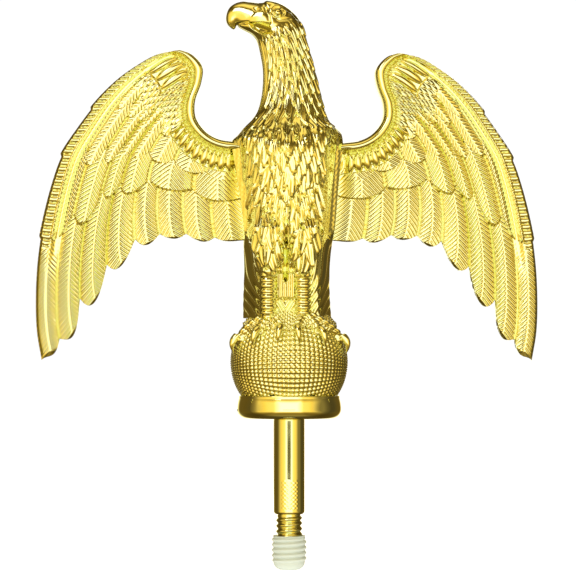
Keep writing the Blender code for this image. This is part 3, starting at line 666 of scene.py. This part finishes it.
def make_globe():
    """Half balls with beads: a half sphere stands on each crossing of the columns, which are meridians, with
    the rows, which are latitudes bowed away from the middle by the square of the turn."""
    for face, half in ((FRONT, "front"), (BACK, "back")):
        latitude = np.linspace(90, GLOBE_FOOT, 250)[:, None] * np.ones((1, 300))
        turn = np.linspace(-90, 90, 300)[None] * np.ones((250, 1))
        column = np.round(turn / BEAD_STEP) * BEAD_STEP
        bow = 0.0042 * column**2 * np.clip((latitude + 9) / 22, -1, 1)
        row = np.round((latitude + bow) / BEAD_STEP) * BEAD_STEP
        aside = np.radians(turn - column) * np.cos(np.radians(latitude))
        off = np.hypot(aside, np.radians(latitude + bow - row)) * GLOBE_RADIUS
        wide = BEAD_RADIUS * np.clip(np.cos(np.radians(latitude)) * 1.15, 0.2, 1)
        bead = BEAD_HEIGHT * np.sqrt(np.clip(1 - (off / wide) ** 2, 0, 1))
        bead = bead * smoothstep(GLOBE_FOOT, GLOBE_FOOT + 3, latitude)
        way = np.radians(turn + (0 if face == FRONT else 180))
        grid = ball(way, np.radians(90 - latitude), GLOBE_RADIUS - 0.2 + bead)
        grid[..., 1] = face * np.maximum(face * grid[..., 1], GAP / 2)
        piece(f"beaded_globe_{half}", [backed(grid, face)], "eagle", GOLD, [f"globe_{half}_shell"])


def make_feet():
    """Two scaled feet over the ball's top: the highest of six round toes and a low web, ridged across."""
    polar = np.linspace(20, 74, 165)[:, None] * np.ones((1, 290))
    turn = np.linspace(-82, 82, 290)[None] * np.ones((165, 1))
    height = np.full(polar.shape, -FOOT_SUNK)
    for azimuth, end in TOES:
        ankle = ANKLE_TURNS[int(azimuth > 0)]
        share = smoothstep(ANKLE_POLAR - 6, end, polar)
        off = np.radians(turn - ankle - (azimuth - ankle) * share) * GLOBE_RADIUS * np.sin(np.radians(polar))
        along = np.radians(polar - end) * GLOBE_RADIUS
        wide = 3.0 - 0.8 * smoothstep(-14, 0, along)
        cap = np.clip(1 - (off / wide) ** 2 - np.clip(along / 1.8, 0, 1) ** 2, 0, 1)
        round_toe = np.sqrt(cap) * (2.7 - 0.5 * smoothstep(-14, 0, along))
        ridges = 0.45 * np.abs(np.sin(np.pi * (along - 0.25 * np.abs(off)) / 1.7)) * smoothstep(0, 0.4, cap)
        ridges = ridges - 0.3 * bell(np.abs(off) - 1.1, 0.3) * smoothstep(0, 0.4, cap)
        height = np.maximum(height, round_toe + ridges - FOOT_SUNK)
    reach = 57 + 3.0 * np.cos(np.radians(turn * 7))
    edge = smoothstep(reach + 2, reach - 3, polar)
    mm_down, mm_round = np.radians(polar) * GLOBE_RADIUS, np.radians(turn) * 16
    ripple = np.sin(mm_down * 3.6 + np.sin(mm_round)) * np.sin(mm_round * 3.4)
    web = 1.5 * edge - FOOT_SUNK + 0.45 * edge * ripple
    height = np.maximum(height, web)
    top = ball(np.radians(turn), np.radians(polar), GLOBE_RADIUS + height)
    under = ball(np.radians(turn), np.radians(polar), GLOBE_RADIUS - 1.4 + 0 * height)
    piece("scaled_feet", [walled(top, under)], "eagle", GOLD)


def make_claws():
    """Six hooked claws: round sections that shrink along an arc, which lifts off the toe and dips again."""
    parts = []
    for azimuth, end in TOES:
        t = np.linspace(0, 1, 24)
        polar = np.radians(end - 3 + 19 * t)
        lift = 1.3 + 1.7 * np.sin(np.pi * np.clip(t * 0.9, 0, 1)) - 1.1 * t
        path = ball(np.radians(azimuth + 2 * np.sign(azimuth) * t), polar, GLOBE_RADIUS + lift)
        ahead = np.gradient(path, axis=0)
        ahead /= np.linalg.norm(ahead, axis=1, keepdims=True)
        out = path - np.array([0, 0, GLOBE_CENTRE])
        out /= np.linalg.norm(out, axis=1, keepdims=True)
        side = np.cross(ahead, out)
        angle = np.arange(20) * 2 * np.pi / 20
        radius = (CLAW_RADIUS * (1 - t**1.6) + 0.06)[:, None, None]
        ring = path[:, None] + radius * (
            np.cos(angle)[None, :, None] * side[:, None] + np.sin(angle)[None, :, None] * out[:, None]
        )
        ring[0], ring[-1] = path[0], path[-1]
        parts.append((ring, grid_faces(24, 20, wrap=True)))
    piece("hooked_claws", parts, "eagle", GOLD)


# ----------------------------------------------------------------------------------------------------
# Cup, stem and adaptor, turned about Z.

STEM_RADIUS, SHANK_END = 5.65, -33.4
KNURL_STEP, KNURL_HEIGHT = 1.5, 0.22


def lathe(profile, sides, name, body, material, nodes):
    """A closed outline of radii and heights turned about Z; its ends lie on the axis or meet each other."""
    outline = np.array(profile, dtype=float)
    points, faces = turned(outline[:, :1], outline[:, 1:], sides)
    return piece(name, [(points, faces)], body, material, nodes)


def arc(centre, radius, start, stop, steps):
    """Points of a round corner: centre plus radius at angles from start to stop, in degrees."""
    angle = np.radians(np.linspace(start, stop, steps))
    return [(centre[0] + radius * np.cos(a), centre[1] + radius * np.sin(a)) for a in angle]


def make_cup():
    """A polished dish: recess round the stem, flat underside, round lower corner, bulged wall, soft lip and
    a hub inside."""
    outline = [(4.25, 0.3), (5.95, 0.3), *arc((6.25, 0.3), 0.3, 180, 270, 5)]
    outline += arc((15.6, 3.4), 3.4, -90, 0, 24)
    outline += [(19.0 - 0.25 * ((h - 3.4) / 2.6) ** 2, h) for h in np.linspace(3.7, 7.4, 14)]
    outline += arc((17.9, 7.85), 0.55, 0, 120, 8)
    outline += [(17.6, 6.0), (16.2, 4.2), (14.6, 3.0), (13.2, 2.6), (9.2, 2.6)]
    outline += [(9.2, 11.4), (8.9, 11.6), (4.25, 11.6), (4.25, 0.3)]
    lathe(outline, 256, "polished_cup", "eagle", POLISHED, ["base_cup"])


def thread(radius, depth, pitch, top, bottom, sides, samples=14):
    """Radius over height and turn of a right-hand thread: round crests a pitch apart, faded at both ends."""
    rows = int(round((top - bottom) / pitch * samples)) + 1
    z = np.linspace(top, bottom, rows)[:, None]
    angle = (np.arange(sides) * 2 * np.pi / sides)[None]
    wave = (0.5 + 0.5 * np.cos(2 * np.pi * (z / pitch - angle / (2 * np.pi)))) ** 0.75
    fade = smoothstep(0, 0.6 * pitch, np.minimum(top - z, z - bottom))
    return radius - depth * (1 - wave * fade), z * np.ones((1, sides))


def level(radius, height, sides):
    """One ring of a turned shape: the same radius and height all round."""
    return np.full((1, sides), float(radius)), np.full((1, sides), float(height))


def stacked(stack, sides):
    """Points and faces of rings of radii and heights, turned about Z in the order given."""
    return turned(np.concatenate([s[0] for s in stack]), np.concatenate([s[1] for s in stack]), sides)


def make_stem():
    """Threaded spigot, smooth shank with a patch of fine knurl on its front, round corner and gold thread."""
    sides = 128
    stack = [level(0, 12, sides), level(3.4, 12, sides), thread(3.95, 0.45, 1.41, 11.8, 0.6, sides)]
    for radius, height in ((3.5, 0), (5.3, 0), (5.58, -0.12), (STEM_RADIUS, -0.4)):
        stack.append(level(radius, height, sides))
    z = np.linspace(-0.8, SHANK_END, 120)[:, None]
    angle = (np.arange(sides) * 2 * np.pi / sides)[None]
    turn = (np.mod(angle + np.pi / 2 + np.pi, 2 * np.pi) - np.pi) * STEM_RADIUS
    patch = smoothstep(3.3, 2.7, np.abs(turn)) * smoothstep(-22.0, -23.0, z) * smoothstep(-33.2, -32.4, z)
    knurl = np.abs(np.sin(np.pi * (z + turn) / KNURL_STEP) * np.sin(np.pi * (z - turn) / KNURL_STEP))
    stack.append((STEM_RADIUS + KNURL_HEIGHT * patch * knurl, z * np.ones((1, sides))))
    for radius, height in arc((4.45, -33.6), 1.2, 0, -80, 10):
        stack.append(level(radius, height, sides))
    stack.append(thread(4.76, 0.65, 2.0, -34.85, -50.9, sides))
    stack += [level(3.6, -51.0, sides), level(0, -51.0, sides)]
    piece("threaded_stem", [stacked(stack, sides)], "stem", POLISHED, ["stem"])


def make_adaptor():
    """A white sleeve: blind bore over the stem's thread, helical ridges outside and a round closed end."""
    sides = 160
    bore = ((0, -51.4), (4.91, -51.4), (4.91, -42.9), (5.2, -42.5), (5.8, -42.5), (6.0, -42.7))
    stack = [level(radius, height, sides) for radius, height in bore]
    stack.append(thread(6.35, 0.62, 1.95, -42.8, -52.3, sides, 20))
    for radius, height in arc((2.75, -51.9), 3.0, -8, -90, 18):
        stack.append(level(radius, height, sides))
    stack.append(level(0, -54.9, sides))
    piece("moulded_adaptor", [stacked(stack, sides)], "adaptor", NYLON, ["thread_adaptor"])


# ----------------------------------------------------------------------------------------------------
# Floor, studio light and camera.


def make_studio():
    """A white floor well below the adaptor, a tent of light and three soft lamps."""
    floor_mesh = bpy.data.meshes.new("studio_floor")
    reach, low = 3.0, -0.075
    corners = [(-reach, -reach, low), (reach, -reach, low), (reach, reach, low), (-reach, reach, low)]
    floor_mesh.from_pydata(corners, [], [(0, 1, 2, 3)])
    floor = bpy.data.objects.new("studio_floor", floor_mesh)
    bpy.context.scene.collection.objects.link(floor)
    material, tree, shader = new_material("matt_white_card", "FFFFFF", 0.0, 0.9)
    shader.inputs["Emission Color"].default_value = (1, 1, 1, 1)
    shader.inputs["Emission Strength"].default_value = 1.0
    floor_mesh.materials.append(material)
    floor.visible_glossy = False
    world = bpy.data.worlds.new("white_tent")
    bpy.context.scene.world = world
    world.use_nodes = True
    tent_light(world.node_tree)
    for name, place, size, energy in (
        ("key_softbox", (-0.55, -0.75, 0.75), 0.45, 1.6),
        ("fill_softbox", (0.8, -0.6, 0.35), 0.5, 0.8),
        ("back_softbox", (0.3, 0.9, 0.6), 0.5, 1.4),
    ):
        lamp = bpy.data.lights.new(name, "AREA")
        lamp.size, lamp.energy = size, energy
        holder = bpy.data.objects.new(name, lamp)
        holder.location = place
        aim = Vector((0, 0, 0.06)) - Vector(place)
        holder.rotation_euler = aim.to_track_quat("-Z", "Y").to_euler()
        holder.visible_glossy = name != "fill_softbox"
        bpy.context.scene.collection.objects.link(holder)


# How bright, or of what colour, the tent is. Stops run along -Y to +Y, from the middle out to the sides, and
# from below to above; then along the distance from the slit, the brightness, and the distance from the axis.
TENT_DEPTH = ((0.0, 1.0), (0.40, 1.0), (0.50, 0.40), (0.60, 0.08), (0.93, 0.06), (0.985, 0.6), (1.0, 0.8))
TENT_SIDES = ((0.0, 1.0), (0.42, 1.0), (0.54, 0.62), (0.72, 0.55), (0.86, 0.40), (1.0, 0.10))
TENT_LEVELS = (
    (0.0, 0.15), (0.14, 0.10), (0.23, 0.30), (0.34, 1.0), (0.66, 1.0), (0.76, 0.12), (0.88, 0.05),
    (0.95, 0.5), (1.0, 0.5),
)
TENT_SLIT = ((0.0, 0.06), (0.018, 0.06), (0.022, 1.0), (1.0, 1.0))
TENT_COLOURS = (
    (0.0, (0.045, 0.035, 0.018)), (0.2, (0.30, 0.235, 0.11)), (0.5, (0.86, 0.70, 0.36)),
    (0.82, (1, 1, 1)), (1.0, (1, 1, 1)),
)
TENT_WARMTH = (
    (0.0, (0.93, 1, 1)), (0.30, (0.93, 1, 1)), (0.50, (0.98, 0.81, 0.36)), (0.80, (0.97, 0.80, 0.34)),
    (1.0, (0.98, 0.94, 0.7)),
)
# X and Z of the direction in which the slit lies, and its height there as a share of its width.
SLIT_X, SLIT_Z, SLIT_SHARE = -0.078, -0.043, 0.09


def ramped(tree, value, stops):
    """The colour of a ramp at a value: greys or colours, in linear light, at the ramp's stops."""
    ramp = node(tree, "ShaderNodeValToRGB", {"Fac": value})
    band = ramp.color_ramp
    for place, _ in stops[1:-1]:
        band.elements.new(place)
    for element, (place, colour) in zip(band.elements, stops):
        element.position = place
        element.color = (*(colour if isinstance(colour, tuple) else (colour,) * 3), 1)
    return ramp.outputs["Color"]


def computed(tree, operation, *values):
    """The result of one sum on numbers or sockets."""
    return node(tree, "ShaderNodeMath", dict(enumerate(values)), operation=operation).outputs[0]


def tent_light(tree):
    """A white tent by direction: bright in front at eye level and straight behind, dim elsewhere, with a
    short dark slit in the middle. Far from the axis its light is warmer. The camera sees plain white."""
    tree.nodes.clear()
    way = node(tree, "ShaderNodeTexCoord").outputs["Generated"]
    x, y, z = node(tree, "ShaderNodeSeparateXYZ", {"Vector": way}).outputs[:3]
    aside = computed(tree, "ABSOLUTE", computed(tree, "ADD", x, -SLIT_X))
    depth = node(tree, "ShaderNodeMapRange", {"Value": y, "From Min": -1.0, "From Max": 1.0}).outputs[0]
    height = node(tree, "ShaderNodeMapRange", {"Value": z, "From Min": -1.0, "From Max": 1.0}).outputs[0]
    glow = computed(tree, "MULTIPLY", ramped(tree, depth, TENT_DEPTH), ramped(tree, aside, TENT_SIDES))
    glow = computed(tree, "MULTIPLY", glow, ramped(tree, height, TENT_LEVELS))
    off_level = computed(tree, "ABSOLUTE", computed(tree, "ADD", z, -SLIT_Z))
    off_slit = computed(tree, "MAXIMUM", computed(tree, "MULTIPLY", aside, SLIT_SHARE), off_level)
    glow = computed(tree, "MULTIPLY", glow, ramped(tree, off_slit, TENT_SLIT))
    off_axis = computed(tree, "MAXIMUM", aside, computed(tree, "ABSOLUTE", z))
    colours = {0: ramped(tree, glow, TENT_COLOURS), 1: ramped(tree, off_axis, TENT_WARMTH)}
    colour = node(tree, "ShaderNodeVectorMath", colours, operation="MULTIPLY").outputs[0]
    tent = node(tree, "ShaderNodeBackground", {"Color": colour, "Strength": 1.56})
    plain = node(tree, "ShaderNodeBackground", {"Color": (1, 1, 1, 1), "Strength": 1.05})
    ray = node(tree, "ShaderNodeLightPath").outputs["Is Camera Ray"]
    seen = node(tree, "ShaderNodeMixShader", {0: ray, 1: tent.outputs[0], 2: plain.outputs[0]})
    node(tree, "ShaderNodeOutputWorld", {"Surface": seen.outputs[0]})


def make_camera():
    """The view: slightly from -X and from below the wings, with a long lens."""
    place, aim = Vector((-0.055, -0.698, 0.017)), Vector((-0.0004, 0.0, 0.0476))
    wide = 0.2108
    data = bpy.data.cameras.new("camera")
    data.sensor_width = 36.0
    data.lens = data.sensor_width * (aim - place).length / wide
    data.clip_start = 0.01
    camera = bpy.data.objects.new("camera", data)
    camera.location = place
    camera.rotation_euler = (aim - place).to_track_quat("-Z", "Y").to_euler()
    bpy.context.scene.collection.objects.link(camera)
    bpy.context.scene.camera = camera


make_wings()
make_body()
make_globe()
make_feet()
make_claws()
make_cup()
make_stem()
make_adaptor()
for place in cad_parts["captive_nut"].material_slots:
    place.material = ZINC
make_studio()
make_camera()
bpy.context.scene.view_settings.view_transform = "Standard"
